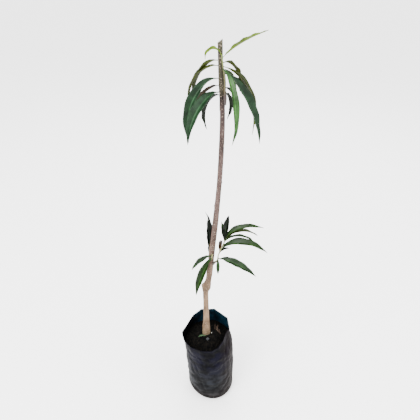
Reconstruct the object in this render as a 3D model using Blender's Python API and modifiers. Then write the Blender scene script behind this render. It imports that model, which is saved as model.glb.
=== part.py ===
"""A young grafted peach tree in a filled grow bag.

Metres, +Z up. The origin is the middle of the bag's flat underside. The tree is a single whip that was cut off
on a slant at its top, with one thin shoot near the top, one shoot low down and a spray of leaves on each side.
"""

import math
import random
from collections import namedtuple

import bmesh
import bpy
from mathutils import Matrix, Vector
from mathutils.bvhtree import BVHTree

GAP = 0.0003
SEED = 7

BAG_RADIUS = 0.0735
BAG_FOOT_RADIUS = 0.071
BAG_LEAN = -0.009
BAG_CORNER = 0.018
BAG_CORNER_STEPS = 5
# The bottom corner is slacker towards one side
BAG_SLACK = 0.018
BAG_SLACK_SIDE = math.radians(-150)
BAG_FILM = 0.0012
BAG_SIDES = 48
BAG_FOLD_START = 0.190
BAG_FOLD_RINGS = 5
SOIL_LEVEL = 0.230
SOIL_MOUND = 0.010
SOIL_FALL = 0.010
SOIL_MOUND_RADIUS = 0.020
SOIL_CLEAR_OF_FOLDS = 0.0015

# The film's soft rim, one entry for each bend: degrees round, distance from its middle, height
RIM_BENDS = (
    (-170, 0.077, 0.256),
    (-150, 0.078, 0.250),
    (-130, 0.077, 0.246),
    (-105, 0.074, 0.244),
    (-80, 0.073, 0.244),
    (-60, 0.067, 0.246),
    (-40, 0.061, 0.250),
    (-15, 0.058, 0.256),
    (0, 0.067, 0.260),
    (30, 0.072, 0.264),
    (70, 0.071, 0.270),
    (105, 0.068, 0.270),
    (135, 0.062, 0.266),
)

# The trunk: height above the level the bag is filled to, sideways place, radius. Its foot stands on the
# soil's low mound, and the thick bend near 0.2 m is the graft.
TRUNK_COURSE = (
    (0.010, -0.014, 0.0120),
    (0.035, -0.014, 0.0110),
    (0.060, -0.014, 0.0090),
    (0.105, -0.014, 0.0080),
    (0.175, -0.015, 0.0080),
    (0.195, -0.013, 0.0120),
    (0.215, -0.008, 0.0085),
    (0.245, -0.004, 0.0080),
    (0.315, 0.002, 0.0075),
    (0.415, 0.011, 0.0070),
    (0.510, 0.018, 0.0060),
    (0.600, 0.022, 0.0060),
    (0.685, 0.023, 0.0055),
    (0.750, 0.019, 0.0050),
    (0.830, 0.016, 0.0050),
)
TRUNK_STEP = 0.015
TRUNK_BOW = 0.003
TRUNK_CUT_SLOPE = math.radians(35)
# Short stubs and bumps on the trunk: height, degrees round, radius, how far its end stands out
TRUNK_KNOBS = (
    (0.200, 175, 0.004, 0.013),
    (0.185, 5, 0.005, 0.013),
    (0.455, 165, 0.003, 0.008),
    (0.520, 20, 0.003, 0.007),
)

# Thin stems beside the trunk: height above the soil, degrees round the trunk, how far clear of its bark, radius
UPPER_SHOOT_TIP = 0.763
LOWER_SHOOT_TIP = 0.301
UPPER_SHOOT = (
    (0.704, -45, GAP, 0.0025),
    (0.718, -45, GAP, 0.0035),
    (0.732, -40, 0.0010, 0.0025),
    (0.748, -35, 0.0025, 0.0020),
    (UPPER_SHOOT_TIP, -40, 0.0025, 0.0020),
)
CROWN_STEM = (
    (UPPER_SHOOT_TIP + GAP, -40, 0.0025, 0.0020),
    (0.777, -55, 0.0020, 0.0015),
    (0.790, -65, 0.0020, 0.0015),
    (0.803, -75, 0.0020, 0.0015),
)
LEFT_STEM = ((0.716, 120, GAP, 0.0015), (0.750, 120, GAP, 0.0015), (0.793, 120, GAP, 0.0015))
RIGHT_STEM = ((0.716, 45, GAP, 0.0015), (0.745, 45, GAP, 0.0015), (0.774, 45, GAP, 0.0015))
BACK_STEM = ((0.728, 85, GAP, 0.0015), (0.750, 85, GAP, 0.0015), (0.776, 85, GAP, 0.0015))
LOWER_SHOOT = (
    (0.280, -55, GAP, 0.0025),
    (0.286, -50, 0.0010, 0.0035),
    (0.291, -45, 0.0060, 0.0025),
    (0.296, -35, 0.0100, 0.0020),
    (LOWER_SHOOT_TIP, -35, 0.0105, 0.0020),
)
LOWER_RIGHT_STEM = (
    (LOWER_SHOOT_TIP + GAP, -35, 0.0105, 0.0020),
    (0.315, -35, 0.0115, 0.0015),
    (0.333, -25, 0.0150, 0.0015),
    (0.350, -15, 0.0195, 0.0015),
    (0.358, -15, 0.0200, 0.0015),
)
LOWER_LEFT_STEM = ((0.298, -85, GAP, 0.0015), (0.306, -85, GAP, 0.0015), (0.314, -85, GAP, 0.0015))
LOWER_BACK_STEM = ((0.288, 130, GAP, 0.0015), (0.312, 130, GAP, 0.0015), (0.336, 130, GAP, 0.0015))

# A leaf: its height on the stem, direction in plan, length, width, slope at the stalk and at the tip, how early
# it bends over (under 1 is early), how far its face turns about its midrib, and how far its course swings round.
Leaf = namedtuple("Leaf", "height turn length width rise hang bend roll sway", defaults=(0, 0))
MASSES = {
    "crown_spray": (
        CROWN_STEM,
        (
            Leaf(0.802, 200, 0.050, 0.010, 65, -100, 1.2, -25),
            Leaf(0.797, -10, 0.100, 0.012, 45, 20, 0.8, 30),
            Leaf(0.788, 30, 0.085, 0.020, 35, -95, 0.45, 15),
            Leaf(0.782, 10, 0.150, 0.020, -20, -90, 0.8, 20),
            Leaf(0.777, -65, 0.170, 0.018, -10, -115, 0.7),
            Leaf(0.771, -10, 0.170, 0.030, -30, -80, 0.6, 30),
            Leaf(0.768, 30, 0.175, 0.022, -20, -100, 0.9, 20, -5),
        ),
    ),
    "left_spray": (
        LEFT_STEM,
        (
            Leaf(0.790, 150, 0.135, 0.022, 20, -90, 0.4, -30),
            Leaf(0.780, 165, 0.115, 0.018, 5, -90, 0.7, -15),
            Leaf(0.755, 200, 0.165, 0.028, 35, -100, 0.4, -35),
            Leaf(0.742, 150, 0.125, 0.022, -15, -75, 0.7),
            Leaf(0.728, 220, 0.140, 0.028, 10, -85, 0.7, -25, 5),
            Leaf(0.722, 130, 0.110, 0.024, -15, -115, 1.0, -20, 10),
        ),
    ),
    "right_spray": (
        RIGHT_STEM,
        (
            Leaf(0.750, 30, 0.110, 0.020, -20, -90, 0.8, 30),
            Leaf(0.738, 45, 0.090, 0.016, -20, -90, 0.9, 20),
            Leaf(0.726, 60, 0.075, 0.018, -10, -125, 0.8, 20, -5),
        ),
    ),
    "back_spray": (
        BACK_STEM,
        (
            Leaf(0.772, 60, 0.130, 0.020, 0, -95, 0.6),
            Leaf(0.760, 90, 0.140, 0.020, 10, -95, 0.7, 70),
        ),
    ),
    "lower_right_spray": (
        LOWER_RIGHT_STEM,
        (
            Leaf(0.303, -25, 0.110, 0.026, 10, -30, 0.8, 20),
            Leaf(0.304, -90, 0.045, 0.012, -45, -85, 0.9),
            Leaf(0.317, 25, 0.035, 0.012, 60, -30, 0.9),
            Leaf(0.323, 80, 0.045, 0.012, 80, -40, 0.8),
            Leaf(0.330, -10, 0.130, 0.030, 55, -35, 0.8, 10, -5),
            Leaf(0.345, -5, 0.110, 0.012, 80, -65, 0.8),
            Leaf(0.352, 15, 0.105, 0.016, 85, -45, 0.6, 0, -5),
            Leaf(0.356, 0, 0.115, 0.022, 85, -15, 0.6, 10),
            Leaf(0.356, 110, 0.050, 0.016, 70, 55, 0.8),
            Leaf(0.357, 75, 0.070, 0.020, 85, 10, 0.9),
        ),
    ),
    "lower_left_spray": (
        LOWER_LEFT_STEM,
        (
            Leaf(0.310, 190, 0.070, 0.018, -10, -60, 0.8, -20),
            Leaf(0.305, 215, 0.120, 0.026, -45, -80, 0.8, -25),
        ),
    ),
    "lower_back_spray": (
        LOWER_BACK_STEM,
        (
            Leaf(0.334, 130, 0.095, 0.014, 90, 40, 3.0),
            Leaf(0.316, 110, 0.085, 0.020, 85, 70, 1.0),
            Leaf(0.296, 60, 0.090, 0.016, 75, 60, 0.9),
        ),
    ),
}
LEAF_STATIONS = 12
LEAF_STALK = 0.009
LEAF_STALK_HALF_WIDTH = 0.0010
LEAF_LENGTH_PER_THICKNESS = 90
LEAF_LEAST_THICKNESS = 0.0013
LEAF_FOLD = math.radians(38)
LEAF_ROLL_DONE = 0.35
LEAF_TWIST_SPREAD = math.radians(3)

BARK = ((0.36, 0.27, 0.22, 1), 0.85)
YOUNG_BARK = ((0.38, 0.30, 0.12, 1), 0.6)
LEAF_GREEN = ((0.09, 0.20, 0.06, 1), 0.45)
FILM_BLACK = ((0.03, 0.03, 0.045, 1), 0.4)
SOIL_BROWN = ((0.03, 0.022, 0.016, 1), 0.95)


def clear_scene():
    for old in list(bpy.data.objects):
        bpy.data.objects.remove(old, do_unlink=True)


def new_collection(name):
    made = bpy.data.collections.new(name)
    bpy.context.scene.collection.children.link(made)
    return made


def plain_material(name, look):
    colour, roughness = look
    made = bpy.data.materials.new(name)
    made.use_nodes = True
    shader = made.node_tree.nodes["Principled BSDF"]
    shader.inputs["Base Color"].default_value = colour
    shader.inputs["Roughness"].default_value = roughness
    shader.inputs["Metallic"].default_value = 0.0
    return made


def smooth_step(value):
    value = min(1.0, max(0.0, value))
    return value * value * (3 - 2 * value)


def along(course, at):
    """The values at one height of a course, on a smooth curve through its stations."""
    last = len(course) - 1
    i = next((k for k in range(last) if at <= course[k + 1][0]), last - 1)
    before, here, there, after = (course[min(max(k, 0), last)] for k in (i - 1, i, i + 1, i + 2))
    span = there[0] - here[0]
    t = min(1.0, max(0.0, (at - here[0]) / span))
    found = []
    for k in range(1, len(here)):
        slope_in = (there[k] - before[k]) / (there[0] - before[0]) * span
        slope_out = (after[k] - here[k]) / (after[0] - here[0]) * span
        found.append(
            (2 * t**3 - 3 * t**2 + 1) * here[k]
            + (t**3 - 2 * t**2 + t) * slope_in
            + (3 * t**2 - 2 * t**3) * there[k]
            + (t**3 - t**2) * slope_out
        )
    return found


def spread(first, last, step):
    count = max(1, round((last - first) / step))
    return [first + (last - first) * i / count for i in range(count + 1)]


def trunk_centre(height):
    side, _ = along(TRUNK_COURSE, height)
    return Vector((side, TRUNK_BOW * math.sin(math.pi * height / TRUNK_COURSE[-1][0]), SOIL_LEVEL + height))


def beside_trunk(height, degrees, clear, radius):
    """The centre of a stem of one radius, so far clear of the trunk's bark."""
    turn = math.radians(degrees)
    distance = along(TRUNK_COURSE, height)[1] + clear + radius
    return trunk_centre(height) + Vector((math.cos(turn), math.sin(turn), 0)) * distance


def mesh_object(name, mesh, collection, material):
    made = bpy.data.objects.new(name, mesh)
    collection.objects.link(made)
    mesh.materials.clear()
    mesh.materials.append(material)
    return made


def as_mesh(source, name, collection, material):
    """The evaluated shape of an object as a mesh object of its own. The source is removed."""
    bpy.context.view_layer.update()
    evaluated = source.evaluated_get(bpy.context.evaluated_depsgraph_get())
    mesh = bpy.data.meshes.new_from_object(evaluated)
    form = bmesh.new()
    form.from_mesh(mesh)
    bmesh.ops.remove_doubles(form, verts=form.verts, dist=0.000002)
    keep_largest_body(form)
    form.to_mesh(mesh)
    form.free()
    made = mesh_object(name, mesh, collection, material)
    made.matrix_world = source.matrix_world.copy()
    bpy.data.objects.remove(source, do_unlink=True)
    made.name = name
    return made


def keep_largest_body(form):
    """Drops loose scraps and sealed hollows that a union can leave."""
    left = set(form.verts)
    bodies = []
    while left:
        body = set()
        edge = [left.pop()]
        while edge:
            vert = edge.pop()
            body.add(vert)
            for other in (e.other_vert(vert) for e in vert.link_edges):
                if other in left:
                    left.remove(other)
                    edge.append(other)
        bodies.append(body)
    bodies.sort(key=len)
    scraps = [vert for body in bodies[:-1] for vert in body]
    bmesh.ops.delete(form, geom=scraps, context="VERTS")


def limb(name, centres, radii, collection, material, bevel_resolution=2):
    """A tapering limb with closed ends through the centres."""
    curve = bpy.data.curves.new(name, "CURVE")
    curve.dimensions = "3D"
    curve.bevel_depth = 1.0
    curve.bevel_resolution = bevel_resolution
    curve.use_fill_caps = True
    spline = curve.splines.new("POLY")
    spline.points.add(len(centres) - 1)
    for point, centre, radius in zip(spline.points, centres, radii):
        point.co = (*centre, 1)
        point.radius = radius
    drawn = bpy.data.objects.new(name, curve)
    collection.objects.link(drawn)
    return as_mesh(drawn, name, collection, material)


def loft(name, rings, collection, material, cap_last):
    """A skin over rings of points, closed at the first ring and, if asked, at the last."""
    form = bmesh.new()
    skins = [[form.verts.new(point) for point in ring] for ring in rings]
    count = len(rings[0])
    for low, high in zip(skins, skins[1:]):
        for i in range(count):
            j = (i + 1) % count
            form.faces.new((low[i], low[j], high[j], high[i]))
    form.faces.new(reversed(skins[0]))
    if cap_last:
        form.faces.new(skins[-1])
    mesh = bpy.data.meshes.new(name)
    form.to_mesh(mesh)
    form.free()
    return mesh_object(name, mesh, collection, material)


def shade_round(made, degrees=40):
    made.data.shade_smooth()
    made.data.set_sharp_from_angle(angle=math.radians(degrees))


def join_all(name, first, others, collection, material):
    """One body out of the first object and the others, which are removed."""
    held = bpy.data.collections.new(name + "_pieces")
    bpy.context.scene.collection.children.link(held)
    for other in others:
        for home in list(other.users_collection):
            home.objects.unlink(other)
        held.objects.link(other)
    union = first.modifiers.new("join", "BOOLEAN")
    union.operation = "UNION"
    union.operand_type = "COLLECTION"
    union.collection = held
    union.solver = "EXACT"
    made = as_mesh(first, name, collection, material)
    for other in others:
        bpy.data.objects.remove(other, do_unlink=True)
    bpy.data.collections.remove(held)
    return made


def rim_at(degrees):
    """The rim's distance from its middle, and its height, in one direction. The film runs straight between bends."""
    wrapped = RIM_BENDS[0][0] + (degrees - RIM_BENDS[0][0]) % 360
    closed = (*RIM_BENDS, (RIM_BENDS[0][0] + 360, *RIM_BENDS[0][1:]))
    low, high = next(pair for pair in zip(closed, closed[1:]) if wrapped <= pair[1][0])
    span = math.radians(high[0] - low[0])
    past = math.radians(wrapped - low[0])
    chord = low[1] * math.sin(past) + high[1] * math.sin(span - past)
    distance = low[1] * high[1] * math.sin(span) / chord
    return distance, low[2] + (high[2] - low[2]) * past / span


def bag_point(degrees, distance, height):
    turn = math.radians(degrees)
    lean = BAG_LEAN * (height / SOIL_LEVEL) ** 2
    return Vector((lean + distance * math.cos(turn), distance * math.sin(turn), height))


def bag_wall(height):
    """The round wall's outer radius, a little narrower at its foot."""
    return BAG_FOOT_RADIUS + (BAG_RADIUS - BAG_FOOT_RADIUS) * smooth_step(height / 0.12)


def bag_profile(inset, degrees):
    """Distance and height from the bottom's middle up to where the rim's folds start, moved inwards by inset."""
    outer = BAG_CORNER + BAG_SLACK * max(0.0, math.cos(math.radians(degrees) - BAG_SLACK_SIDE)) ** 2
    corner = outer - inset
    reach = bag_wall(outer) - outer
    turned = [
        (reach + corner * math.sin(a), outer - corner * math.cos(a))
        for a in (math.radians(90 * i / BAG_CORNER_STEPS) for i in range(BAG_CORNER_STEPS + 1))
    ]
    wall = [(bag_wall(height) - inset, height) for height in (0.055, 0.090, 0.125, 0.155, BAG_FOLD_START)]
    return [(reach / 2, inset), *turned, *wall]


def bag_rings(inset):
    """Rings of points from the bottom's middle up to where the rim's folds start."""
    turns = [360 * i / BAG_SIDES for i in range(BAG_SIDES)]
    profiles = [bag_profile(inset, degrees) for degrees in turns]
    return [[bag_point(degrees, *place) for degrees, place in zip(turns, places)] for places in zip(*profiles)]


def fold_ring(part):
    """One ring of the free film above the soil, part of the way from the round wall to the bent rim."""
    ring = []
    for i in range(BAG_SIDES):
        degrees = 360 * i / BAG_SIDES
        rim_distance, rim_height = rim_at(degrees)
        distance = BAG_RADIUS + (rim_distance - BAG_RADIUS) * smooth_step(part)
        ring.append(bag_point(degrees, distance, BAG_FOLD_START + (rim_height - BAG_FOLD_START) * part))
    return ring


def grow_bag(collection):
    rings = bag_rings(0)
    rings +=[fold_ring((i + 1) / BAG_FOLD_RINGS) for i in range(BAG_FOLD_RINGS)]
    made = loft(
        "grow_bag", rings, collection, plain_material("black_film", FILM_BLACK), cap_last=False
    )
    wall = made.modifiers.new("film", "SOLIDIFY")
    wall.thickness = BAG_FILM
    wall.offset = -1
    shade_round(made)
    return made


def fill_ring(inset, height):
    """The film's inner side at one height above the start of its folds, moved inwards by inset."""
    ring = []
    for i in range(BAG_SIDES):
        degrees = 360 * i / BAG_SIDES
        rim_distance, rim_height = rim_at(degrees)
        part = (height - BAG_FOLD_START) / (rim_height - BAG_FOLD_START)
        distance = BAG_RADIUS + (rim_distance - BAG_RADIUS) * smooth_step(part)
        ring.append(bag_point(degrees, distance - inset, height))
    return ring


def potting_soil(collection):
    """The filling, a little clear of the film, with a low mound that is flat where the trunk stands on it."""
    inset = BAG_FILM + GAP
    rings = bag_rings(inset)
    edge =fill_ring(inset + SOIL_CLEAR_OF_FOLDS, SOIL_LEVEL - SOIL_FALL)
    rings.append(edge)
    foot = trunk_centre(SOIL_MOUND)
    for share in (0.8, 0.55, 0.3, 0.0):
        ring = []
        for i, outer in enumerate(edge):
            turn = math.tau * i / BAG_SIDES
            inner = foot + Vector((math.cos(turn), math.sin(turn), 0)) * SOIL_MOUND_RADIUS
            place = inner.lerp(outer, share)
            place.z = foot.z + (outer.z - foot.z) * smooth_step(share)
            ring.append(place)
        rings.append(ring)
    made = loft("potting_soil", rings, collection, plain_material("soil", SOIL_BROWN), cap_last=True)
    shade_round(made)
    return made


def knob(height, degrees, radius, reach, collection, material):
    """A stub that stands out sideways from the trunk's axis."""
    turn = math.radians(degrees)
    out = Vector((math.cos(turn), math.sin(turn), 0.35)).normalized()
    start = trunk_centre(height)
    centres = [start + out * reach * part for part in (0.3, 0.8, 1.0)]
    return limb("knob", centres, (radius * 1.3, radius, radius * 0.75), collection, material)


def cutting_block(name, size, place, tilt, cutters):
    form = bmesh.new()
    bmesh.ops.create_cube(form, size=size)
    mesh = bpy.data.meshes.new(name)
    form.to_mesh(mesh)
    form.free()
    made = bpy.data.objects.new(name, mesh)
    made.matrix_world = Matrix.Translation(place) @ Matrix.Rotation(tilt, 4, "Y") @ Matrix.Translation(
        (0, 0, size / 2)
    )
    made.hide_render = True
    made.display_type = "WIRE"
    cutters.objects.link(made)
    return made


def trunk(collection, cutters):
    """The whip from its flat foot at the soil to its slanting cut, with its graft and its stubs."""
    bark = plain_material("bark", BARK)
    top = TRUNK_COURSE[-1][0]
    overrun = 0.012
    heights = spread(TRUNK_COURSE[0][0], top, TRUNK_STEP)
    centres = [trunk_centre(height) for height in heights]
    radii = [along(TRUNK_COURSE, height)[1] for height in heights]
    below = centres[0] - Vector((0, 0, overrun))
    above = centres[-1] + (centres[-1] - centres[-2]).normalized() * overrun
    whole = limb(
        "trunk",
        [below, *centres, above],
        [radii[0], *radii, radii[-1]],
        collection,
        bark,
        bevel_resolution=4,
    )
    knobs = [knob(*entry, collection, bark) for entry in TRUNK_KNOBS]
    joined = join_all("trunk", whole, knobs, collection, bark)
    size = 0.2
    foot = centres[0] + Vector((0, 0, GAP))
    blocks = (
        cutting_block("foot_cut", size, foot, math.pi, cutters),
        cutting_block("tip_cut", size, centres[-1] - Vector((0, 0, 0.0035)), -TRUNK_CUT_SLOPE, cutters),
    )
    for block in blocks:
        cut = joined.modifiers.new(block.name, "BOOLEAN")
        cut.operation = "DIFFERENCE"
        cut.object = block
        cut.solver = "EXACT"
    shade_round(joined)
    return joined


def stem_points(course, step=0.004):
    heights = spread(course[0][0], course[-1][0], step)
    found = [along(course, height) for height in heights]
    centres = [beside_trunk(height, *place) for height, place in zip(heights, found)]
    return centres, [radius for _, _, radius in found]


def stem(name, course, collection, material):
    return limb(name, *stem_points(course), collection, material, bevel_resolution=2)


def leaf_half_width(part):
    """Share of the half width at a share of the blade's length: a lance with a long drawn-out tip."""
    return (math.sin(math.pi * part**0.86) ** 0.85) * (1 - 0.28 * part**3)


def leaf_course(leaf, start):
    """Midrib places, with the direction, the face's normal and the side at each."""
    stations = []
    place = start.copy()
    step = leaf.length / LEAF_STATIONS
    for i in range(LEAF_STATIONS + 1):
        part = i / LEAF_STATIONS
        turn = math.radians(leaf.turn + leaf.sway * part)
        slope = math.radians(leaf.rise + (leaf.hang - leaf.rise) * part**leaf.bend)
        out = Vector((math.cos(turn), math.sin(turn), 0))
        forward = out * math.cos(slope) + Vector((0, 0, math.sin(slope)))
        normal = Vector((0, 0, math.cos(slope))) - out * math.sin(slope)
        roll = math.radians(leaf.roll) * smooth_step(part / LEAF_ROLL_DONE)
        normal.rotate(Matrix.Rotation(roll, 3, forward))
        stations.append((place.copy(), normal, forward.cross(normal)))
        middle = math.radians(leaf.rise + (leaf.hang - leaf.rise) * ((i + 0.5) / LEAF_STATIONS) ** leaf.bend)
        swung = math.radians(leaf.turn + leaf.sway * (i + 0.5) / LEAF_STATIONS)
        place += step * Vector(
            (math.cos(middle) * math.cos(swung), math.cos(middle) * math.sin(swung), math.sin(middle))
        )
    return stations


def leaf_blade(leaf, start, draws, collection, material):
    """A folded blade on its stalk, as one thin closed body whose foot is inside the stem."""
    twist = draws.uniform(-LEAF_TWIST_SPREAD, LEAF_TWIST_SPREAD)
    stalk = LEAF_STALK / leaf.length
    half = max(LEAF_LEAST_THICKNESS, leaf.length / LEAF_LENGTH_PER_THICKNESS) / 2
    rings = []
    for i, (place, normal, side) in enumerate(leaf_course(leaf, start)):
        part = i / LEAF_STATIONS
        blade = max(0.0, min(1.0, (part - stalk) / (1 - stalk)))
        width = max(LEAF_STALK_HALF_WIDTH, leaf.width / 2 * leaf_half_width(blade))
        fold = (LEAF_FOLD + twist) * smooth_step(blade / 0.1)
        rise = normal * math.sin(fold) * width
        reach = side * math.cos(fold) * width
        thick = normal * half
        rings.append(
            [
                place + thick,
                place + rise + reach + thick,
                place + rise + reach - thick,
                place - thick,
                place + rise - reach - thick,
                place + rise - reach + thick,
            ]
        )
    return loft("leaf", rings, collection, material, cap_last=True)


def faces_of(made):
    """A search tree over an object's faces."""
    bpy.context.view_layer.update()
    form = bmesh.new()
    form.from_object(made, bpy.context.evaluated_depsgraph_get())
    form.transform(made.matrix_world)
    found = BVHTree.FromBMesh(form)
    form.free()
    return found


def spray(name, course, leaves, collection, material, around):
    """One stem with its leaves fused on. A leaf that would touch a solid around it is left out."""
    draws = random.Random(f"{SEED}{name}")
    first = stem(name, course, collection, material)
    blades = []
    for leaf in leaves:
        foot = beside_trunk(leaf.height, *along(course, leaf.height))
        blade = leaf_blade(leaf, foot, draws, collection, material)
        faces = faces_of(blade)
        if any(faces.overlap(other) for other in around):
            bpy.data.objects.remove(blade, do_unlink=True)
        else:
            blades.append(blade)
    made = join_all(name, first, blades, collection, material)
    shade_round(made, 30)
    return made


def build():
    clear_scene()
    tree = new_collection("potted_peach_tree")
    cutters = new_collection("cutters")
    solids = [grow_bag(tree), potting_soil(tree), trunk(tree, cutters)]
    young = plain_material("young_bark", YOUNG_BARK)
    for name, course in (("upper_shoot", UPPER_SHOOT), ("lower_shoot", LOWER_SHOOT)):
        solids.append(stem(name, course, tree, young))
        shade_round(solids[-1])
    around = [faces_of(solid) for solid in solids]
    green = plain_material("leaf", LEAF_GREEN)
    for name, (course, leaves) in MASSES.items():
        around.append(faces_of(spray(name, course, leaves, tree, green, around)))


build()
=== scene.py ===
"""The looks of a young grafted peach tree in a filled grow bag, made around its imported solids."""

import math
import random
from collections import namedtuple

import bpy
from mathutils import Matrix, Vector, noise


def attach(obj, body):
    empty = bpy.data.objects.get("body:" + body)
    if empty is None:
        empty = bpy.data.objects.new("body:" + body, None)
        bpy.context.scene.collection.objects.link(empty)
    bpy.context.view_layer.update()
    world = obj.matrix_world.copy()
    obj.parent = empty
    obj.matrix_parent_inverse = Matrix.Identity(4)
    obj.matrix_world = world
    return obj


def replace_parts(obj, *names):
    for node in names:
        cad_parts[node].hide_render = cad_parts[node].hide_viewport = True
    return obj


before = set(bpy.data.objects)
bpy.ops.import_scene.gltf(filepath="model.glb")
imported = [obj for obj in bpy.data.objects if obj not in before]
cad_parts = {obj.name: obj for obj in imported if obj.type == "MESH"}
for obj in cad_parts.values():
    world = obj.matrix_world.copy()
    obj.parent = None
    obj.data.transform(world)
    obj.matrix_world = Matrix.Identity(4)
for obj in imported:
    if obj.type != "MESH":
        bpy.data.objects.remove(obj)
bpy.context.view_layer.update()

SEED = 7
GAP = 0.0003

# The bag, the soil and the tree's courses repeat the sizes of the solids
BAG_RADIUS = 0.0735
BAG_FOOT_RADIUS = 0.071
BAG_LEAN = -0.009
BAG_CORNER = 0.018
BAG_SLACK = 0.018
BAG_SLACK_SIDE = math.radians(-150)
BAG_FOLD_START = 0.190
SOIL_LEVEL = 0.230
SOIL_MOUND = 0.010
SOIL_FALL = 0.010
SOIL_MOUND_RADIUS = 0.020
FILM_INSET = 0.0012

# The film's soft rim, one entry for each bend: degrees round, distance from its middle, height
RIM_BENDS = (
    (-170, 0.077, 0.256),
    (-150, 0.078, 0.250),
    (-130, 0.077, 0.246),
    (-105, 0.074, 0.244),
    (-80, 0.073, 0.244),
    (-60, 0.067, 0.246),
    (-40, 0.061, 0.250),
    (-15, 0.058, 0.256),
    (0, 0.067, 0.260),
    (30, 0.072, 0.264),
    (70, 0.071, 0.270),
    (105, 0.068, 0.270),
    (135, 0.062, 0.266),
)
# The trunk: height above the level the bag is filled to, sideways place, radius
TRUNK_COURSE = (
    (0.010, -0.014, 0.0120),
    (0.035, -0.014, 0.0110),
    (0.060, -0.014, 0.0090),
    (0.105, -0.014, 0.0080),
    (0.175, -0.015, 0.0080),
    (0.195, -0.013, 0.0120),
    (0.215, -0.008, 0.0085),
    (0.245, -0.004, 0.0080),
    (0.315, 0.002, 0.0075),
    (0.415, 0.011, 0.0070),
    (0.510, 0.018, 0.0060),
    (0.600, 0.022, 0.0060),
    (0.685, 0.023, 0.0055),
    (0.750, 0.019, 0.0050),
    (0.830, 0.016, 0.0050),
)
TRUNK_BOW = 0.003
TRUNK_CUT_SLOPE = math.radians(35)
TRUNK_CUT_DROP = 0.0035
# Bumps on the trunk: height, degrees round, how far each stands out of the bark, its spread up and down
TRUNK_BUMPS = (
    (0.200, 178, 0.0030, 0.0050),
    (0.187, 5, 0.0020, 0.0060),
    (0.455, 165, 0.0014, 0.0040),
    (0.520, 20, 0.0012, 0.0040),
    (0.705, -45, 0.0012, 0.0060),
)
UPPER_SHOOT_TIP = 0.763
LOWER_SHOOT_TIP = 0.301
# Thin stems beside the trunk: height above the soil, degrees round it, how far clear of its bark, radius
STEMS = {
    "upper_shoot": (
        (0.704, -45, GAP, 0.0025),
        (0.718, -45, GAP, 0.0035),
        (0.732, -40, 0.0010, 0.0025),
        (0.748, -35, 0.0025, 0.0020),
        (UPPER_SHOOT_TIP, -40, 0.0025, 0.0020),
    ),
    "lower_shoot": (
        (0.280, -55, GAP, 0.0025),
        (0.286, -50, 0.0010, 0.0035),
        (0.291, -45, 0.0060, 0.0025),
        (0.296, -35, 0.0100, 0.0020),
        (LOWER_SHOOT_TIP, -35, 0.0105, 0.0020),
    ),
    "crown_spray": (
        (UPPER_SHOOT_TIP + GAP, -40, 0.0025, 0.0020),
        (0.777, -55, 0.0020, 0.0015),
        (0.790, -65, 0.0020, 0.0015),
        (0.803, -75, 0.0020, 0.0015),
    ),
    "left_spray": ((0.716, 120, GAP, 0.0015), (0.750, 120, GAP, 0.0015), (0.793, 120, GAP, 0.0015)),
    "right_spray": ((0.716, 45, GAP, 0.0015), (0.745, 45, GAP, 0.0015), (0.774, 45, GAP, 0.0015)),
    "back_spray": ((0.728, 85, GAP, 0.0015), (0.750, 85, GAP, 0.0015), (0.776, 85, GAP, 0.0015)),
    "lower_right_spray": (
        (LOWER_SHOOT_TIP + GAP, -35, 0.0105, 0.0020),
        (0.315, -35, 0.0115, 0.0015),
        (0.333, -25, 0.0150, 0.0015),
        (0.350, -15, 0.0195, 0.0015),
        (0.358, -15, 0.0200, 0.0015),
    ),
    "lower_left_spray": ((0.298, -85, GAP, 0.0015), (0.306, -85, GAP, 0.0015), (0.314, -85, GAP, 0.0015)),
    "lower_back_spray": ((0.288, 130, GAP, 0.0015), (0.312, 130, GAP, 0.0015), (0.336, 130, GAP, 0.0015)),
}
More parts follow.
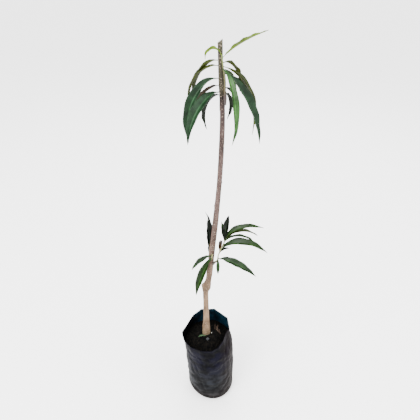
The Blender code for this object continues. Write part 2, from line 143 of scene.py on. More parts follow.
# A leaf: its tint, its height on the stem, direction in plan, length, width, slope at the stalk and at the
# tip, how early it bends over, how far its face turns about its midrib, and how far its course swings round
Leaf = namedtuple("Leaf", "tint height turn length width rise hang bend roll sway", defaults=(0, 0))
MASSES = {
    "crown_spray": (
        Leaf("fresh", 0.802, 200, 0.050, 0.010, 65, -100, 1.2, -25),
        Leaf("fresh", 0.797, -10, 0.100, 0.012, 45, 20, 0.8, 30),
        Leaf("olive", 0.788, 30, 0.085, 0.020, 35, -95, 0.45, 15),
        Leaf("olive", 0.782, 10, 0.150, 0.020, -20, -90, 0.8, 20),
        Leaf("light", 0.777, -65, 0.170, 0.018, -10, -115, 0.7),
        Leaf("teal", 0.771, -10, 0.170, 0.030, -30, -80, 0.6, 30),
        Leaf("olive", 0.768, 30, 0.175, 0.022, -20, -100, 0.9, 20, -5),
    ),
    "left_spray": (
        Leaf("olive", 0.790, 150, 0.135, 0.022, 20, -90, 0.4, -30),
        Leaf("olive", 0.780, 165, 0.115, 0.018, 5, -90, 0.7, -15),
        Leaf("teal", 0.755, 200, 0.165, 0.028, 35, -100, 0.4, -35),
        Leaf("rust", 0.742, 150, 0.125, 0.022, -15, -75, 0.7),
        Leaf("teal", 0.728, 220, 0.140, 0.028, 10, -85, 0.7, -25, 5),
        Leaf("dark", 0.722, 130, 0.110, 0.024, -15, -115, 1.0, -20, 10),
    ),
    "right_spray": (
        Leaf("dark", 0.738, 45, 0.090, 0.016, -20, -90, 0.9, 20),
        Leaf("dark", 0.726, 60, 0.075, 0.018, -10, -125, 0.8, 20, -5),
    ),
    "back_spray": (
        Leaf("green", 0.772, 60, 0.130, 0.020, 0, -95, 0.6),
        Leaf("green", 0.760, 90, 0.140, 0.020, 10, -95, 0.7, 70),
    ),
    "lower_right_spray": (
        Leaf("grey", 0.303, -25, 0.110, 0.026, 10, -30, 0.8, 20),
        Leaf("grey", 0.304, -90, 0.045, 0.012, -45, -85, 0.9),
        Leaf("dark", 0.317, 25, 0.035, 0.012, 60, -30, 0.9),
        Leaf("rust", 0.323, 80, 0.045, 0.012, 80, -40, 0.8),
        Leaf("green", 0.330, -10, 0.130, 0.030, 55, -35, 0.8, 10, -5),
        Leaf("green", 0.345, -5, 0.110, 0.012, 80, -65, 0.8),
        Leaf("olive", 0.352, 15, 0.105, 0.016, 85, -45, 0.6, 0, -5),
        Leaf("green", 0.356, 0, 0.115, 0.022, 85, -15, 0.6, 10),
        Leaf("green", 0.356, 110, 0.050, 0.016, 70, 55, 0.8),
        Leaf("dark", 0.357, 75, 0.070, 0.020, 85, 10, 0.9),
    ),
    "lower_left_spray": (
        Leaf("grey", 0.310, 190, 0.070, 0.018, -10, -60, 0.8, -20),
        Leaf("green", 0.305, 215, 0.120, 0.026, -45, -80, 0.8, -25),
    ),
    "lower_back_spray": (
        Leaf("dark", 0.334, 130, 0.095, 0.014, 90, 40, 3.0),
        Leaf("dark", 0.316, 110, 0.085, 0.020, 85, 70, 1.0),
        Leaf("dark", 0.296, 60, 0.090, 0.016, 75, 60, 0.9),
    ),
}
LEAF_ROWS = 64
LEAF_HALF_COLUMNS = 6
LEAF_STALK = 0.004
LEAF_STALK_HALF_WIDTH = 0.0014
LEAF_THICKNESS = 0.0005
LEAF_FOLD = math.radians(38)
LEAF_ROLL_DONE = 0.35
LEAF_WAVE = 0.0009
LEAF_VEIN = 0.00022
LEAF_VEIN_PITCH = 0.0065
LEAF_TOOTH = 0.02
LEAF_RIB_END = 0.8

FILM_THICKNESS = 0.0005
FILM_CREASE = 0.0022
FILM_FINE_CREASE = 0.0010
SOIL_REACH = 0.068
SOIL_CLEAR_OF_FILM = 0.004
SOIL_SKIRT = 0.02
SOIL_CLOD_RISE = 0.0022
SOIL_CRUMB_RISE = 0.0012
CLODS = 520
CLOD_REACH = 0.064
DRY_STALKS = 5
DRY_STALK_RADIUS = 0.0009
WEED_LEAF_THICKNESS = 0.0004
BARK_BELOW_SOIL = 0.006
BARK_BELOW_TIP = 0.012
CUT_FACE_RINGS = (1.0, 0.86, 0.6, 0.3)
CUT_FACE_DISH = 0.0002

# Each tint's base colours: its upper side, its under side
TINTS = {
    "teal": ((0.0055, 0.0165, 0.0065), (0.012, 0.026, 0.010)),
    "green": ((0.0045, 0.0140, 0.0015), (0.010, 0.024, 0.004)),
    "grey": ((0.0080, 0.0190, 0.0060), (0.014, 0.028, 0.009)),
    "olive": ((0.0120, 0.0180, 0.0015), (0.022, 0.028, 0.003)),
    "fresh": ((0.0550, 0.0880, 0.0030), (0.065, 0.100, 0.005)),
    "light": ((0.0180, 0.0500, 0.0120), (0.026, 0.058, 0.016)),
    # Painted shade: near-black leaf colours for leaves that hang in shade behind the trunk and under other
    # leaves
    "dark": ((0.0010, 0.0022, 0.0008), (0.0025, 0.0050, 0.0018)),
    "rust": ((0.0120, 0.0055, 0.0015), (0.015, 0.009, 0.003)),
}
RIB_LIGHTER = 1.9

CAMERA_SIDE = -0.003
CAMERA_BACK = 0.811
CAMERA_ABOVE_SOIL = 0.966
CAMERA_DOWN = math.radians(32.7)
CAMERA_LENS = 34.3
SENSOR = 36


def smooth_step(value):
    value = min(1.0, max(0.0, value))
    return value * value * (3 - 2 * value)


def along(course, at):
    """The values at one height of a course, on a smooth curve through its stations."""
    last = len(course) - 1
    i = next((k for k in range(last) if at <= course[k + 1][0]), last - 1)
    before, here, there, after = (course[min(max(k, 0), last)] for k in (i - 1, i, i + 1, i + 2))
    span = there[0] - here[0]
    t = min(1.0, max(0.0, (at - here[0]) / span))
    found = []
    for k in range(1, len(here)):
        slope_in = (there[k] - before[k]) / (there[0] - before[0]) * span
        slope_out = (after[k] - here[k]) / (after[0] - here[0]) * span
        found.append(
            (2 * t**3 - 3 * t**2 + 1) * here[k]
            + (t**3 - 2 * t**2 + t) * slope_in
            + (3 * t**2 - 2 * t**3) * there[k]
            + (t**3 - t**2) * slope_out
        )
    return found


def trunk_centre(height):
    side, _ = along(TRUNK_COURSE, height)
    return Vector((side, TRUNK_BOW * math.sin(math.pi * height / TRUNK_COURSE[-1][0]), SOIL_LEVEL + height))


def beside_trunk(height, degrees, clear, radius):
    """The centre of a stem of one radius, so far clear of the trunk's bark."""
    turn = math.radians(degrees)
    distance = along(TRUNK_COURSE, height)[1] + clear + radius
    return trunk_centre(height) + Vector((math.cos(turn), math.sin(turn), 0)) * distance


def new_piece(name, points, faces, materials, face_slots=None):
    """A mesh that rides on the part's one body."""
    mesh = bpy.data.meshes.new(name)
    mesh.from_pydata([tuple(point) for point in points], [], faces)
    for each in materials:
        mesh.materials.append(each)
    if face_slots:
        mesh.polygons.foreach_set("material_index", face_slots)
    mesh.shade_smooth()
    mesh.validate()
    made = bpy.data.objects.new(name, mesh)
    bpy.context.scene.collection.objects.link(made)
    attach(made, "root")
    return made


def loft_faces(start, rows, columns):
    """Quads over rings of points, the rings closed round."""
    return [
        (
            start + i * columns + j,
            start + i * columns + (j + 1) % columns,
            start + (i + 1) * columns + (j + 1) % columns,
            start + (i + 1) * columns + j,
        )
        for i in range(rows - 1)
        for j in range(columns)
    ]


class Look:
    """A node material under construction."""

    def __init__(self, name, roughness):
        self.made = bpy.data.materials.new(name)
        self.made.use_nodes = True
        self.nodes = self.made.node_tree.nodes
        self.links = self.made.node_tree.links
        self.shader = self.nodes["Principled BSDF"]
        self.shader.inputs["Roughness"].default_value = roughness
        self.place = self.nodes.new("ShaderNodeTexCoord").outputs["Object"]

    def noise(self, scale, detail=4, stretch=(1, 1, 1)):
        mapped = self.nodes.new("ShaderNodeMapping")
        mapped.inputs["Scale"].default_value = stretch
        self.links.new(self.place, mapped.inputs["Vector"])
        made = self.nodes.new("ShaderNodeTexNoise")
        made.inputs["Scale"].default_value = scale
        made.inputs["Detail"].default_value = detail
        self.links.new(mapped.outputs["Vector"], made.inputs["Vector"])
        return made.outputs["Fac"]

    def axis(self, name, low, high):
        """How far along an axis, from 0 at low to 1 at high."""
        parts = self.nodes.new("ShaderNodeSeparateXYZ")
        self.links.new(self.place, parts.inputs["Vector"])
        made = self.nodes.new("ShaderNodeMapRange")
        made.inputs["From Min"].default_value = low
        made.inputs["From Max"].default_value = high
        self.links.new(parts.outputs[name], made.inputs["Value"])
        return made.outputs["Result"]

    def ramp(self, factor, stops):
        made = self.nodes.new("ShaderNodeValToRGB")
        elements = made.color_ramp.elements
        for i, (at, colour) in enumerate(stops):
            stop = elements[i] if i < 2 else elements.new(at)
            stop.position = at
            stop.color = (*colour, 1)
        self.links.new(factor, made.inputs["Fac"])
        return made.outputs["Color"]

    def mix(self, factor, first, second, kind="MIX"):
        made = self.nodes.new("ShaderNodeMix")
        made.data_type = "RGBA"
        made.blend_type = kind
        for socket, value in ((made.inputs[0], factor), (made.inputs[6], first), (made.inputs[7], second)):
            if isinstance(value, bpy.types.NodeSocket):
                self.links.new(value, socket)
            else:
                socket.default_value = value if isinstance(value, float) else (*value, 1)
        return made.outputs[2]

    def colour(self, output):
        self.links.new(output, self.shader.inputs["Base Color"])

    def relief(self, height, strength, distance):
        made = self.nodes.new("ShaderNodeBump")
        made.inputs["Strength"].default_value = strength
        made.inputs["Distance"].default_value = distance
        self.links.new(height, made.inputs["Height"])
        self.links.new(made.outputs["Normal"], self.shader.inputs["Normal"])


def leaf_look(name, colour, roughness):
    look = Look(name, roughness)
    deep = tuple(0.55 * c for c in colour)
    pale = tuple(1.5 * c for c in colour)
    look.colour(look.ramp(look.noise(55, 5), [(0.36, deep), (0.64, pale)]))
    look.relief(look.noise(420, 3), 0.25, 0.0004)
    look.shader.inputs["Specular IOR Level"].default_value = 0.10
    return look.made


def bark_look():
    look = Look("bark", 0.72)
    rise = look.axis("Z", SOIL_LEVEL, SOIL_LEVEL + TRUNK_COURSE[-1][0])
    base = look.ramp(
        rise,
        [
            (0.0, (0.045, 0.040, 0.022)),
            (0.05, (0.110, 0.072, 0.044)),
            (0.24, (0.115, 0.074, 0.046)),
            (0.34, (0.075, 0.046, 0.035)),
            (0.55, (0.050, 0.032, 0.029)),
            (0.83, (0.038, 0.025, 0.024)),
            (0.865, (0.012, 0.008, 0.007)),
            (0.88, (0.024, 0.022, 0.013)),
            (1.0, (0.028, 0.027, 0.018)),
        ],
    )
    mottle = look.ramp(
        look.noise(70, 6, (1, 1, 0.35)),
        [(0.36, (0.5, 0.48, 0.46)), (0.64, (1.4, 1.35, 1.3))],
    )
    patched = look.mix(1.0, base, mottle, "MULTIPLY")
    pores = look.ramp(look.noise(330, 1, (1, 1, 2.2)), [(0.64, (0, 0, 0)), (0.70, (1, 1, 1))])
    look.colour(look.mix(pores, patched, (0.28, 0.22, 0.17)))
    look.relief(look.noise(260, 5, (1, 1, 0.5)), 0.6, 0.0012)
    look.shader.inputs["Specular IOR Level"].default_value = 0.12
    return look.made


def shoot_look():
    look = Look("young_bark", 0.5)
    rise = look.axis("Z", SOIL_LEVEL + 0.70, SOIL_LEVEL + 0.81)
    base = look.ramp(
        rise,
        [
            (0.0, (0.012, 0.004, 0.003)),
            (0.20, (0.015, 0.005, 0.003)),
            (0.35, (0.050, 0.040, 0.009)),
            (0.7, (0.065, 0.070, 0.013)),
            (1.0, (0.070, 0.100, 0.010)),
        ],
    )
    mottle = look.ramp(look.noise(150, 4), [(0.3, (0.75, 0.75, 0.75)), (0.7, (1.2, 1.2, 1.15))])
    look.colour(look.mix(1.0, base, mottle, "MULTIPLY"))
    look.relief(look.noise(600, 3), 0.3, 0.0004)
    return look.made


def low_shoot_look():
    look = Look("low_young_bark", 0.5)
    rise = look.axis("Z", SOIL_LEVEL + 0.280, SOIL_LEVEL + 0.31)
    base = look.ramp(
        rise,
        [
            (0.0, (0.014, 0.006, 0.003)),
            (0.35, (0.02, 0.01, 0.005)),
            (0.7, (0.15, 0.14, 0.045)),
        ],
    )
    mottle = look.ramp(look.noise(150, 4), [(0.3, (0.75, 0.75, 0.75)), (0.7, (1.2, 1.2, 1.15))])
    look.colour(look.mix(1.0, base, mottle, "MULTIPLY"))
    look.relief(look.noise(600, 3), 0.3, 0.0004)
    return look.made


def wood_look():
    look = Look("cut_wood", 0.75)
    look.colour(look.ramp(look.noise(420, 4), [(0.3, (0.26, 0.24, 0.21)), (0.7, (0.40, 0.38, 0.34))]))
    look.relief(look.noise(900, 3), 0.4, 0.0003)
    return look.made


def film_look():
    look = Look("black_film", 0.5)
    rise = look.axis("Z", 0.0, 0.25)
    base = look.ramp(
        rise,
        [
            (0.0, (0.020, 0.010, 0.008)),
            (0.08, (0.0060, 0.0050, 0.0046)),
            (0.30, (0.0052, 0.0056, 0.0062)),
            (0.50, (0.0026, 0.0027, 0.0036)),
            (0.70, (0.0009, 0.0008, 0.0024)),
            (1.0, (0.0007, 0.0006, 0.0017)),
        ],
    )
    # Lighter and darker crinkle marks from a stretched noise pattern, multiplied over the colour that changes
    # with height.
    crinkle = look.ramp(
        look.noise(26, 8, (1, 1, 1.8)),
        [(0.44, (0.35, 0.35, 0.38)), (0.60, (2.2, 2.25, 2.4))],
    )
    crinkle_marked = look.mix(1.0, base, crinkle, "MULTIPLY")
    right = look.ramp(look.axis("X", 0.020, 0.064), [(0.0, (0, 0, 0)), (1.0, (0.7, 0.7, 0.7))])
    look.colour(look.mix(right, crinkle_marked, (0.0042, 0.0016, 0.0013)))
    look.relief(look.noise(60, 7, (1, 1, 1.6)), 0.6, 0.003)
    look.shader.inputs["Specular IOR Level"].default_value = 0.02
    return look.made


def inner_film_look():
    look = Look("film_inside", 0.4)
    # Painted light inside the film: the teal is a painted sheen where the inside catches the light, and the
    # left inner wall goes near black as painted shade.
    sheen = look.ramp(
        look.noise(30, 6),
        [(0.38, (0.0012, 0.0030, 0.0050)), (0.66, (0.0040, 0.0140, 0.0240))],
    )
    left = look.ramp(look.axis("X", -0.060, -0.040), [(0.0, (1, 1, 1)), (1.0, (0, 0, 0))])
    look.colour(look.mix(left, sheen, (0.0006, 0.0007, 0.0010)))
    look.relief(look.noise(55, 6), 0.5, 0.002)
    look.shader.inputs["Specular IOR Level"].default_value = 0.03
    return look.made


def soil_look():
    look = Look("dark_soil", 0.95)
    grain = look.ramp(
        look.noise(190, 9),
        [(0.46, (0.0004, 0.0004, 0.0004)), (0.68, (0.0050, 0.0040, 0.0028))],
    )
    look.colour(grain)
    look.relief(look.noise(300, 8), 1.0, 0.004)
    look.shader.inputs["Specular IOR Level"].default_value = 0.05
    return look.made


def plain_look(name, colour, roughness=0.8):
    look = Look(name, roughness)
    deep = tuple(0.65 * c for c in colour)
    pale = tuple(min(1.0, 1.3 * c) for c in colour)
    look.colour(look.ramp(look.noise(240, 5), [(0.3, deep), (0.7, pale)]))
    look.relief(look.noise(500, 4), 0.4, 0.0008)
    return look.made


def leaf_half_width(part):
    """Share of the half width at a share of the blade's length: a lance with a long drawn-out tip."""
    return (math.sin(math.pi * part**0.86) ** 0.85) * (1 - 0.28 * part**3)


def leaf_course(leaf, start, rows):
    """Midrib places, with the face's normal and the side at each."""
    stations = []
    place = start.copy()
    step = leaf.length / rows
    for i in range(rows + 1):
        part = i / rows
        turn = math.radians(leaf.turn + leaf.sway * part)
        slope = math.radians(leaf.rise + (leaf.hang - leaf.rise) * part**leaf.bend)
        out = Vector((math.cos(turn), math.sin(turn), 0))
        forward = out * math.cos(slope) + Vector((0, 0, math.sin(slope)))
        normal = Vector((0, 0, math.cos(slope))) - out * math.sin(slope)
        roll = math.radians(leaf.roll) * smooth_step(part / LEAF_ROLL_DONE)
        normal.rotate(Matrix.Rotation(roll, 3, forward))
        stations.append((place.copy(), normal, forward.cross(normal)))
        halfway = (i + 0.5) / rows
        middle = math.radians(leaf.rise + (leaf.hang - leaf.rise) * halfway**leaf.bend)
        swung = math.radians(leaf.turn + leaf.sway * halfway)
        place += step * Vector(
            (math.cos(middle) * math.cos(swung), math.cos(middle) * math.sin(swung), math.sin(middle))
        )
    return stations


def leaf_surface(leaf, start, draws):
    """The upper side's points, row by row, with the normal at each row."""
    stalk = LEAF_STALK / leaf.length
    phase = draws.uniform(0, math.tau)
    waves = draws.uniform(2.5, 4.5)
    rows = []
    for i, (place, normal, side) in enumerate(leaf_course(leaf, start, LEAF_ROWS)):
        part = i / LEAF_ROWS
        blade = max(0.0, min(1.0, (part - stalk) / (1 - stalk)))
        width = max(LEAF_STALK_HALF_WIDTH * (1 - 0.6 * part), leaf.width / 2 * leaf_half_width(blade))
        tooth = 1 + LEAF_TOOTH * (-1) ** i * smooth_step(blade / 0.15)
        fold = LEAF_FOLD * smooth_step(blade / 0.1)
        swell = smooth_step(blade / 0.15) * smooth_step((1 - blade) / 0.1)
        row = []
        for j in range(-LEAF_HALF_COLUMNS, LEAF_HALF_COLUMNS + 1):
            across = j / LEAF_HALF_COLUMNS
            share = abs(across)
            reach = across * width * math.cos(fold)
            if share == 1:
                reach *= tooth
            rise = share**1.2 * width * math.sin(fold)
            rise += LEAF_WAVE * swell * share**2 * math.sin(waves * math.tau * blade + phase + (across > 0))
            vein = math.cos(math.tau * (blade * leaf.length - share * width * 0.8) / LEAF_VEIN_PITCH)
            rise += LEAF_VEIN * swell * vein * (share > 0)
            rise -= 2 * LEAF_VEIN * swell * (share == 0)
            row.append(place + side * reach + normal * rise)
        rows.append((row, normal))
    return rows


def leaves_of(name, leaves, looks):
    """All leaves of one mass in one mesh, each a thin closed body with a paler under side and midrib."""
    draws = random.Random(f"{SEED}{name}")
    tints = sorted({leaf.tint for leaf in leaves})
    slots = {tint: 3 * i for i, tint in enumerate(tints)}
    points, faces, face_slots = [], [], []
    columns = 2 * LEAF_HALF_COLUMNS + 1
    ring = 2 * columns
    middle = (LEAF_HALF_COLUMNS - 1, LEAF_HALF_COLUMNS)
    for leaf in leaves:
        foot = beside_trunk(leaf.height, *along(STEMS[name], leaf.height))
        start = len(points)
        rows = leaf_surface(leaf, foot, draws)
        for i, (row, normal) in enumerate(rows):
            thick = LEAF_THICKNESS * (1 + 1.5 * (1 - smooth_step(i / 8)))
            points += row
            points += [point - normal * thick for point in reversed(row)]
        for i in range(LEAF_ROWS):
            for j in range(ring):
                here, there = start + i * ring, start + (i + 1) * ring
                k = (j + 1) % ring
                faces.append((here + j, here + k, there + k, there + j))
                upper = j < columns - 1
                rib = upper and j in middle and i < LEAF_RIB_END * LEAF_ROWS
                face_slots.append(slots[leaf.tint] + (2 if rib else 0 if upper else 1))
        for i, turned in ((0, True), (LEAF_ROWS, False)):
            cap = [start + i * ring + j for j in range(ring)]
            faces.append(tuple(reversed(cap)) if turned else tuple(cap))
            face_slots.append(slots[leaf.tint])
    used = [looks[tint][k] for tint in tints for k in range(3)]
    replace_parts(new_piece(name + "_leaves", points, faces, used, face_slots), name)


def stem_of(name, course, material, sides=14, step=0.0015):
    """A thin young stem beside the trunk."""
    first, last = course[0][0], course[-1][0]
    count = max(2, round((last - first) / step))
    heights = [first + (last - first) * i / count for i in range(count + 1)]
    places = [(beside_trunk(height, *along(course, height)), along(course, height)[2]) for height in heights]
    return tube(name, places, material, sides)


def tube(name, places, material, sides):
    """A skin round a course of centres and radii, closed at both ends."""
    points = []
    for i, (centre, radius) in enumerate(places):
        ahead = places[min(i + 1, len(places) - 1)][0] - places[max(i - 1, 0)][0]
        side = ahead.cross(Vector((0, 1, 0))).normalized()
        other = ahead.cross(side).normalized()
        for j in range(sides):
            turn = -math.tau * j / sides
            rough = 1 + 0.06 * noise.noise(Vector((i * 0.4, 3 * math.cos(turn), 3 * math.sin(turn))))
            points.append(centre + (side * math.cos(turn) + other * math.sin(turn)) * radius * rough)
    faces = loft_faces(0, len(places), sides)
    faces.append(tuple(reversed(range(sides))))
    faces.append(tuple(range((len(places) - 1) * sides, len(places) * sides)))
    return new_piece(name, points, faces, [material])


def bark_radius(height, turn):
    """The trunk's radius with its relief: bumps, an uneven bark and a lobed root flare."""
    _, radius = along(TRUNK_COURSE, height)
    at = Vector((math.cos(turn) * 1.5, math.sin(turn) * 1.5, height * 60))
    radius *= 1 + 0.035 * noise.noise(at) + 0.015 * noise.noise(at * 4)
    for level, degrees, out, spread in TRUNK_BUMPS:
        swing = math.atan2(math.sin(turn - math.radians(degrees)), math.cos(turn - math.radians(degrees)))
        radius += out * math.exp(-(((height - level) / spread) ** 2) - (swing * radius / spread) ** 2)
    flare = max(0.0, 1 - (height - TRUNK_COURSE[0][0]) / 0.03)
    return radius * (1 + 0.05 * flare * math.cos(3 * turn + 0.6))


def bark(looks, sides=36, step=0.0025):
    """The trunk's skin, from just below the soil to the slanting cut with its pale face."""
    first, last = TRUNK_COURSE[0][0] - BARK_BELOW_SOIL, TRUNK_COURSE[-1][0] - BARK_BELOW_TIP
    count = round((last - first) / step)
    points = []
    for i in range(count + 1):
        height = first + (last - first) * i / count
        centre = trunk_centre(height)
        for j in range(sides):
            turn = math.tau * j / sides
            points.append(centre + Vector((math.cos(turn), math.sin(turn), 0)) * bark_radius(height, turn))
    tip = trunk_centre(TRUNK_COURSE[-1][0]) - Vector((0, 0, TRUNK_CUT_DROP))
    for share in CUT_FACE_RINGS:
        for j in range(sides):
            turn = math.tau * j / sides
            radius = bark_radius(TRUNK_COURSE[-1][0], turn) * share
            x, y = math.cos(turn) * radius, math.sin(turn) * radius
            points.append(tip + Vector((x, y, x * math.tan(TRUNK_CUT_SLOPE) - CUT_FACE_DISH * (share < 0.9))))
    rows = count + 1 + len(CUT_FACE_RINGS)
    faces = loft_faces(0, rows, sides)
    face_slots = [0 if k < (count + 1) * sides else 1 for k in range(len(faces))]
    faces.append(tuple(reversed(range(sides))))
    face_slots.append(0)
    faces.append(tuple(range((rows - 1) * sides, rows * sides)))
    face_slots.append(1)
    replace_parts(new_piece("bark", points, faces, [looks["bark"], looks["wood"]], face_slots), "trunk")


def rim_at(degrees):
    """The rim's distance from its middle and its height in one direction, straight between bends."""
    wrapped = RIM_BENDS[0][0] + (degrees - RIM_BENDS[0][0]) % 360
    closed = (*RIM_BENDS, (RIM_BENDS[0][0] + 360, *RIM_BENDS[0][1:]))
    low, high = next(pair for pair in zip(closed, closed[1:]) if wrapped <= pair[1][0])
    span = math.radians(high[0] - low[0])
    past = math.radians(wrapped - low[0])
    chord = low[1] * math.sin(past) + high[1] * math.sin(span - past)
    distance = low[1] * high[1] * math.sin(span) / chord
    return distance, low[2] + (high[2] - low[2]) * past / span


def bag_point(degrees, distance, height):
    turn = math.radians(degrees)
    lean = BAG_LEAN * (height / SOIL_LEVEL) ** 2
    return Vector((lean + distance * math.cos(turn), distance * math.sin(turn), height))


def bag_wall(height):
    return BAG_FOOT_RADIUS + (BAG_RADIUS - BAG_FOOT_RADIUS) * smooth_step(height / 0.12)


def film_crease(degrees, height):
    """How far the film is pushed in by its creases at one place."""
    turn = math.radians(degrees)
    at = Vector((2.2 * math.cos(turn), 2.2 * math.sin(turn), 22 * height))
    ridged = 1 - abs(noise.noise(at * 1.3))
    fine = 1 - abs(noise.noise(at * 3.1 + Vector((5, 1, 2))))
    return FILM_CREASE * ridged**4 + FILM_FINE_CREASE * fine**5


def film_rows():
    """Rings of points on the film's outside, from the bottom's middle to the rim."""
    sides, corner_steps, wall_steps, fold_steps = 180, 8, 34, 20
    columns = []
    for j in range(sides):
        degrees = 360 * j / sides
        outer = BAG_CORNER + BAG_SLACK * max(0.0, math.cos(math.radians(degrees) - BAG_SLACK_SIDE)) ** 2
        reach = bag_wall(outer) - outer
        column = [(reach * share, 0.0) for share in (0.25, 0.5, 0.8)]
        for i in range(corner_steps + 1):
            a = math.pi / 2 * i / corner_steps
            column.append((reach + outer * math.sin(a), outer - outer * math.cos(a)))
        for i in range(1, wall_steps + 1):
            height = outer + (BAG_FOLD_START - outer) * i / wall_steps
            column.append((bag_wall(height) - film_crease(degrees, height), height))
        rim_distance, rim_height = rim_at(degrees)
        for i in range(1, fold_steps + 1):
            part = i / fold_steps
            height = BAG_FOLD_START + (rim_height - BAG_FOLD_START) * part
            distance = BAG_RADIUS + (rim_distance - BAG_RADIUS) * smooth_step(part)
            column.append((distance - film_crease(degrees, height) * (1 - 0.6 * part), height))
        columns.append([bag_point(degrees, *place) for place in column])
    return [list(row) for row in zip(*columns)]


def film(looks):
    rows = film_rows()
    sides = len(rows[0])
    points = [point for row in rows for point in row]
    faces = loft_faces(0, len(rows), sides)
    faces.append(tuple(reversed(range(sides))))
    made = new_piece("film_bag", points, faces, [looks["film"], looks["film_inside"]])
    wall = made.modifiers.new("film", "SOLIDIFY")
    wall.thickness = FILM_THICKNESS
    wall.offset = -1
    wall.material_offset = 1
    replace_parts(made, "grow_bag")


def soil_height(x, y):
    """The soil's top at one place: a low mound round the trunk, with clods."""
    foot = trunk_centre(SOIL_MOUND)
    away = math.hypot(x - foot.x, y - foot.y)
    share = smooth_step((away - SOIL_MOUND_RADIUS) / (SOIL_REACH - SOIL_MOUND_RADIUS))
    level = foot.z - (SOIL_MOUND + SOIL_FALL) * share
    at = Vector((x * 90, y * 90, 0.5))
    return level + SOIL_CLOD_RISE * noise.noise(at) + SOIL_CRUMB_RISE * noise.noise(at * 2.7)


def soil(looks):
    """The soil's top, out to the film, with a skirt that goes down inside it."""
    sides, steps = 120, 36
    points, limit = [], []
    for j in range(sides):
        degrees = 360 * j / sides
        rim_distance, rim_height = rim_at(degrees)
        part = (SOIL_LEVEL - SOIL_FALL - BAG_FOLD_START) / (rim_height - BAG_FOLD_START)
        inner = BAG_RADIUS + (rim_distance - BAG_RADIUS) * smooth_step(part)
        limit.append(inner - FILM_INSET - SOIL_CLEAR_OF_FILM)
    for depth in (SOIL_SKIRT, 0.0):
        for j in range(sides):
            turn = math.tau * j / sides
            x, y = BAG_LEAN + limit[j] * math.cos(turn), limit[j] * math.sin(turn)
            points.append(Vector((x, y, soil_height(x, y) - depth)))
    for i in range(1, steps):
        for j in range(sides):
            turn = math.tau * j / sides
            reach = limit[j] * (1 - i / steps)
            x, y = BAG_LEAN + reach * math.cos(turn), reach * math.sin(turn)
            points.append(Vector((x, y, soil_height(x, y))))
    rows = steps + 1
    faces = loft_faces(0, rows, sides)
    faces.append(tuple(reversed(range(sides))))
    faces.append(tuple(range((rows - 1) * sides, rows * sides)))
    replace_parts(new_piece("soil_top", points, faces, [looks["soil"]]), "potting_soil")


def clod(points, faces, centre, size, draws):
    """A small uneven lump added to a list of points and faces."""
    start = len(points)
    rows, sides = 4, 7
    points.append(centre - Vector((0, 0, size)))
    for i in range(1, rows):
        a = math.pi * i / rows
        for j in range(sides):
            turn = math.tau * j / sides
            out = Vector((math.sin(a) * math.cos(turn), math.sin(a) * math.sin(turn), -math.cos(a)))
            points.append(centre + out * size * draws.uniform(0.7, 1.15))
    points.append(centre + Vector((0, 0, size)))
    top = len(points) - 1
    for j in range(sides):
        k = (j + 1) % sides
        faces.append((start, start + 1 + k, start + 1 + j))
        faces.append((top, top - sides + j, top - sides + k))
    faces.extend(loft_faces(start + 1, rows - 1, sides))


def clods(looks):
    """Loose clods strewn over the soil."""
    draws = random.Random(f"{SEED}clods")
    points, faces = [], []
    for _ in range(CLODS):
        turn, away = draws.uniform(0, math.tau), CLOD_REACH * math.sqrt(draws.uniform(0, 1))
        x, y = BAG_LEAN + away * math.cos(turn) * 0.96, away * math.sin(turn) * 0.96
        size = draws.uniform(0.0006, 0.0024)
        clod(points, faces, Vector((x, y, soil_height(x, y) + 0.2 * size)), size, draws)
    new_piece("soil_clods", points, faces, [looks["soil"]])


def debris(looks):
    """Small things that lie on the soil: a pebble, a white crumb and dry stalks."""
    draws = random.Random(f"{SEED}debris")
    foot = trunk_centre(SOIL_MOUND)
    for name, x, y, size, look in (
        ("pebble", foot.x + 0.004, foot.y - 0.026, 0.0050, "stone"),
        ("white_crumb", foot.x + 0.016, foot.y - 0.002, 0.0018, "crumb"),
    ):
        points, faces = [], []
        clod(points, faces, Vector((x, y, soil_height(x, y) + 0.4 * size)), size, draws)
        new_piece(name, points, faces, [looks[look]])
    for i in range(DRY_STALKS):
        x, y = foot.x + 0.026 + 0.004 * i, foot.y + 0.012 - 0.003 * i
        tilt = draws.uniform(-0.5, 0.5)
        start = Vector((x, y, soil_height(x, y)))
        places = []
        for s in (0, 0.25, 0.5, 0.75, 1):
            lifted = Vector((0.012 * tilt * s, 0.010 * s, 0.010 * s * s + 0.0015))
            places.append((start + lifted, DRY_STALK_RADIUS * (1.1 - 0.5 * s)))
        tube(f"dry_stalk_{i}", places, looks["straw"], 8)


def weed_leaf(looks):
    """A small seedling leaf that lies on the soil at the trunk's foot."""
    foot = trunk_centre(SOIL_MOUND)
    leaf = Leaf("weed", 0, 190, 0.022, 0.007, 12, -15, 1.0, 0)
    draws = random.Random(f"{SEED}weed")
    x, y = foot.x - 0.002, foot.y - 0.0155
    rows = leaf_surface(leaf, Vector((x, y, soil_height(x, y) + 0.003)), draws)
    ring = 2 * len(rows[0][0])
    points = []
    for row, normal in rows:
        points += row
        points += [point - normal * WEED_LEAF_THICKNESS for point in reversed(row)]
    faces = loft_faces(0, len(rows), ring)
    faces.append(tuple(reversed(range(ring))))
    faces.append(tuple(range((len(rows) - 1) * ring, len(rows) * ring)))
    new_piece("weed_leaf", points, faces, [looks["weed"]])


def floor():
    look = Look("pale_floor", 0.95)
    look.shader.inputs["Base Color"].default_value = (0.97, 0.97, 0.97, 1)
    bpy.ops.mesh.primitive_plane_add(size=40, location=(0, 0, -0.0003))
    plane = bpy.context.object
    plane.name = "floor"
    plane.data.materials.append(look.made)


def light(name, place, size, power):
    lamp = bpy.data.lights.new(name, "AREA")
    lamp.size = size
    lamp.energy = power
    held = bpy.data.objects.new(name, lamp)
    held.location = place
    aim = Vector((0, 0, 0.6)) - Vector(place)
    held.rotation_euler = aim.to_track_quat("-Z", "Y").to_euler()
    bpy.context.scene.collection.objects.link(held)


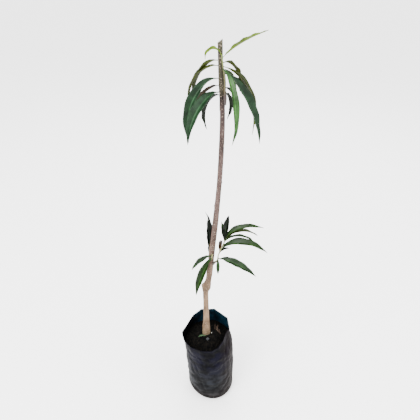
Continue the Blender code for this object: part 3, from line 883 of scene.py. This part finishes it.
def camera():
    lens = bpy.data.cameras.new("camera")
    lens.sensor_width = SENSOR
    lens.lens = CAMERA_LENS
    held = bpy.data.objects.new("camera", lens)
    held.location = (CAMERA_SIDE, -CAMERA_BACK, SOIL_LEVEL + CAMERA_ABOVE_SOIL)
    held.rotation_euler = (math.pi / 2 - CAMERA_DOWN, 0, 0)
    bpy.context.scene.collection.objects.link(held)
    bpy.context.scene.camera = held


def studio():
    camera()
    floor()
    light("key", (-1.4, -1.8, 2.8), 1.6, 190)
    light("fill", (1.9, -1.2, 1.8), 1.8, 60)
    light("back", (0.4, 2.2, 2.4), 1.8, 60)
    world = bpy.data.worlds.new("studio")
    bpy.context.scene.world = world
    world.use_nodes = True
    sky = world.node_tree.nodes["Background"]
    sky.inputs["Color"].default_value = (1, 1, 1, 1)
    sky.inputs["Strength"].default_value = 3.6


def build():
    leaf_looks = {}
    for tint, (upper, under) in TINTS.items():
        rib = tuple(RIB_LIGHTER * c for c in upper)
        leaf_looks[tint] = (
            leaf_look(tint + "_leaf", upper, 0.36),
            leaf_look(tint + "_under", under, 0.55),
            leaf_look(tint + "_rib", rib, 0.45),
        )
    looks = {
        "bark": bark_look(),
        "wood": wood_look(),
        "film": film_look(),
        "film_inside": inner_film_look(),
        "soil": soil_look(),
        "stone": plain_look("stone", (0.007, 0.008, 0.010)),
        "crumb": plain_look("crumb", (0.22, 0.22, 0.20)),
        "straw": plain_look("straw", (0.034, 0.016, 0.006)),
        "weed": plain_look("weed", (0.014, 0.042, 0.010)),
    }
    upper, lower = shoot_look(), low_shoot_look()
    bark(looks)
    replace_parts(stem_of("upper_shoot_bark", STEMS["upper_shoot"], upper), "upper_shoot")
    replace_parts(stem_of("lower_shoot_bark", STEMS["lower_shoot"], lower), "lower_shoot")
    for name, leaves in MASSES.items():
        leaves_of(name, leaves, leaf_looks)
        stem_of(name + "_stem", STEMS[name], lower if name.startswith("lower") else upper)
    film(looks)
    soil(looks)
    clods(looks)
    debris(looks)
    weed_leaf(looks)


build()
studio()
